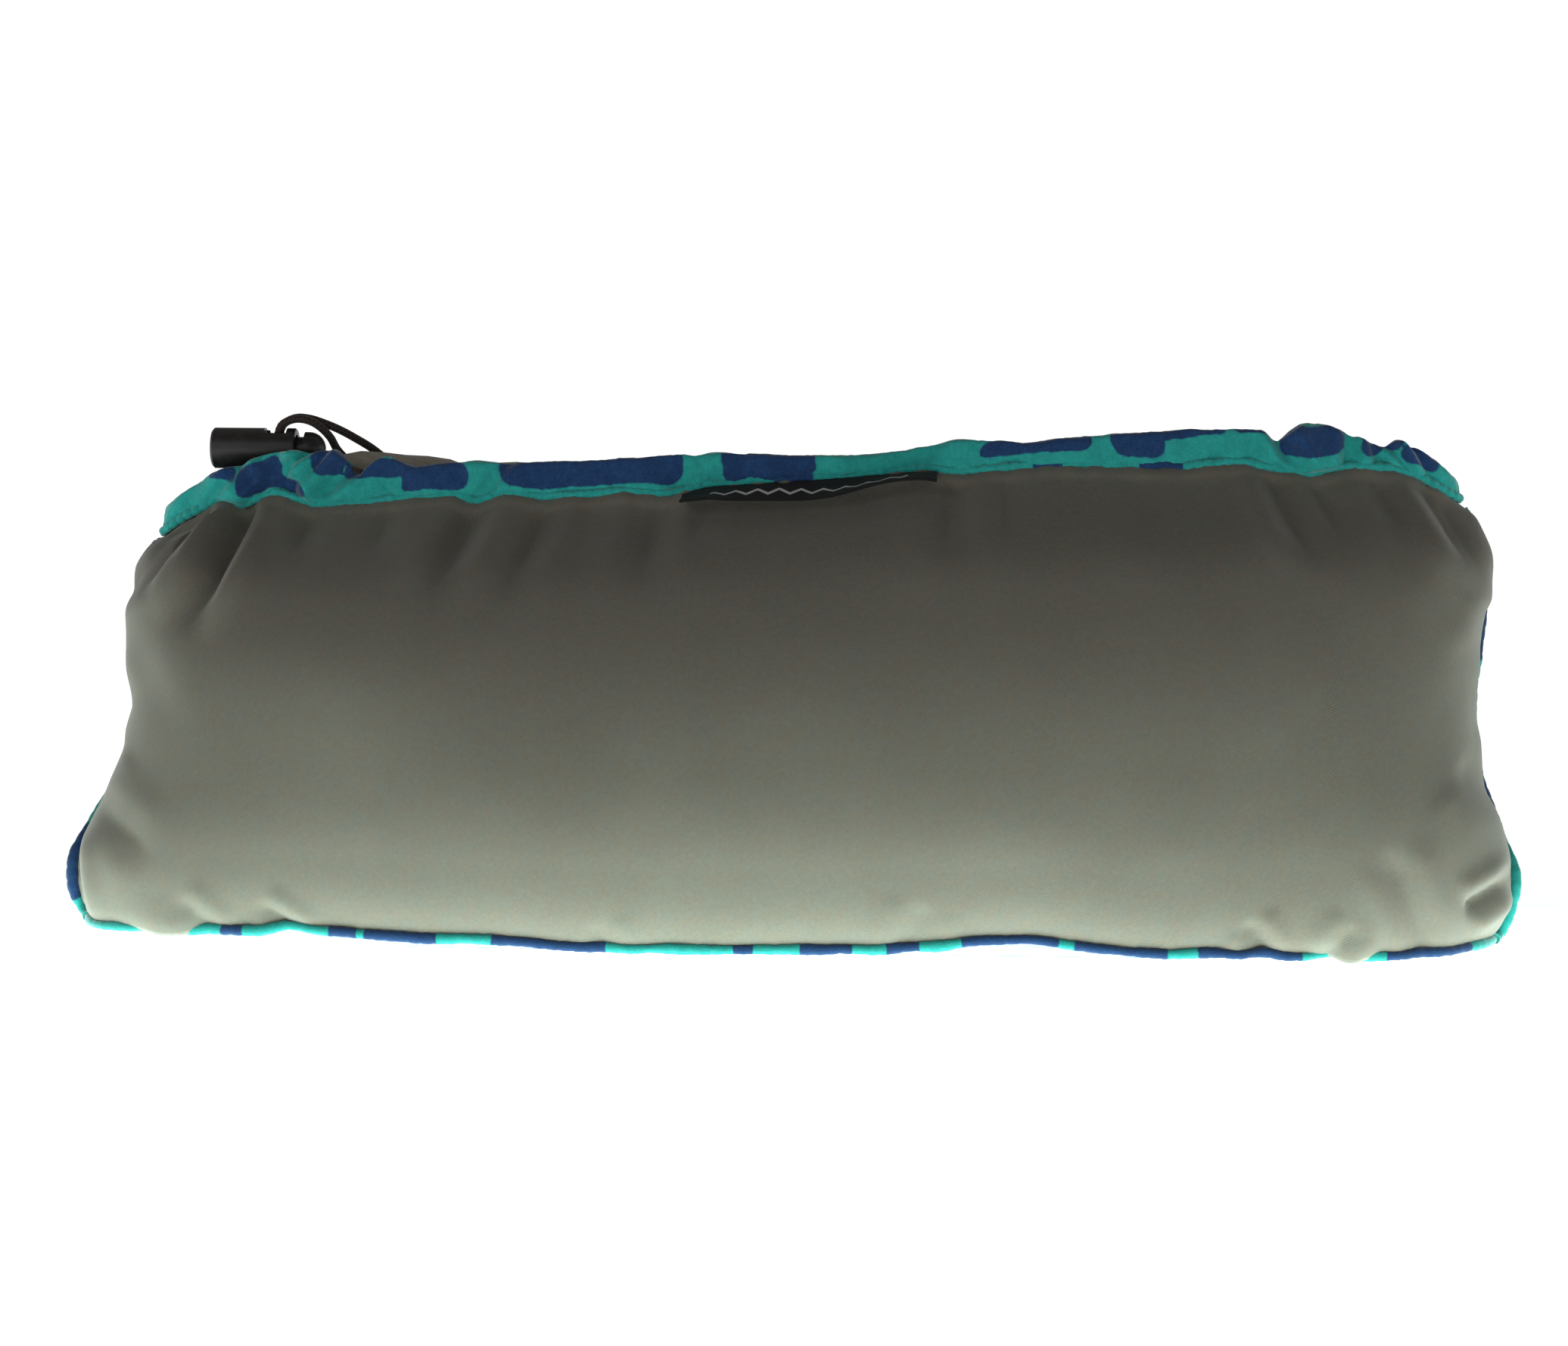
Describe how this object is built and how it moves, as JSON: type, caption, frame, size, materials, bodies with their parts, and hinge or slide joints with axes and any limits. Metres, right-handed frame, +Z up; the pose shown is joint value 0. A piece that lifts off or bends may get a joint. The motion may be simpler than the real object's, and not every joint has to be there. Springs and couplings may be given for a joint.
{
  "type": "camp pillow",
  "caption": "Compressible camp pillow stowed in its own printed drawcord pocket, with a gathered mouth, a sprung barrel cord lock and a sewn flap label.",
  "frame": {"origin": "on the surface the stowed pillow stands on, under the middle of the pocket", "axes": "+Z up, the grey front panel faces -Y, +X to the right as seen from the front, along the pocket's length"},
  "size_m": [0.4116, 0.1458, 0.1498],
  "materials": {
    "grey_twill": "brushed",
    "printed_fabric": "brushed",
    "casing_stitch": "sewn",
    "label_weave": "woven",
    "cord_braid": "braided",
    "lock_plastic": "moulded",
    "spring_steel": "drawn",
    "foam": "shredded"
  },
  "bodies": {
    "pocket": {"front_panel": "grey_twill", "back_panel": "printed_fabric", "bottom_seam": "printed_fabric", "left_seam": "printed_fabric", "right_seam": "printed_fabric", "front_casing": "printed_fabric", "back_casing": "printed_fabric", "casing_stitching": "casing_stitch", "folded_pillow_cover": "grey_twill", "foam_filling": "foam", "drawcord": "cord_braid", "left_buttonhole": "casing_stitch", "right_buttonhole": "casing_stitch", "cord_strand_left": "cord_braid", "cord_strand_right": "cord_braid", "cord_knot": "cord_braid", "lock_barrel": "lock_plastic", "lock_spring": "spring_steel"},
    "plunger": {"lock_plunger": "lock_plastic"},
    "label": {"woven_label": "label_weave"}
  },
  "joints": [
    {"name": "plunger_press", "type": "slide", "parent": "pocket", "child": "plunger", "axis": [-1, 0, 0], "range_m": [0, 0.0022], "stiffness_N_per_m": 600, "springref_m": -0.003, "deforming": ["lock_spring"]},
    {"name": "label_flap", "type": "hinge", "parent": "pocket", "child": "label", "pos_m": [0.007, -0.0244, 0.133], "axis": [-1, 0, 0], "range_deg": [-7, 70], "stiffness_Nm_per_rad": 0.001}
  ]
}
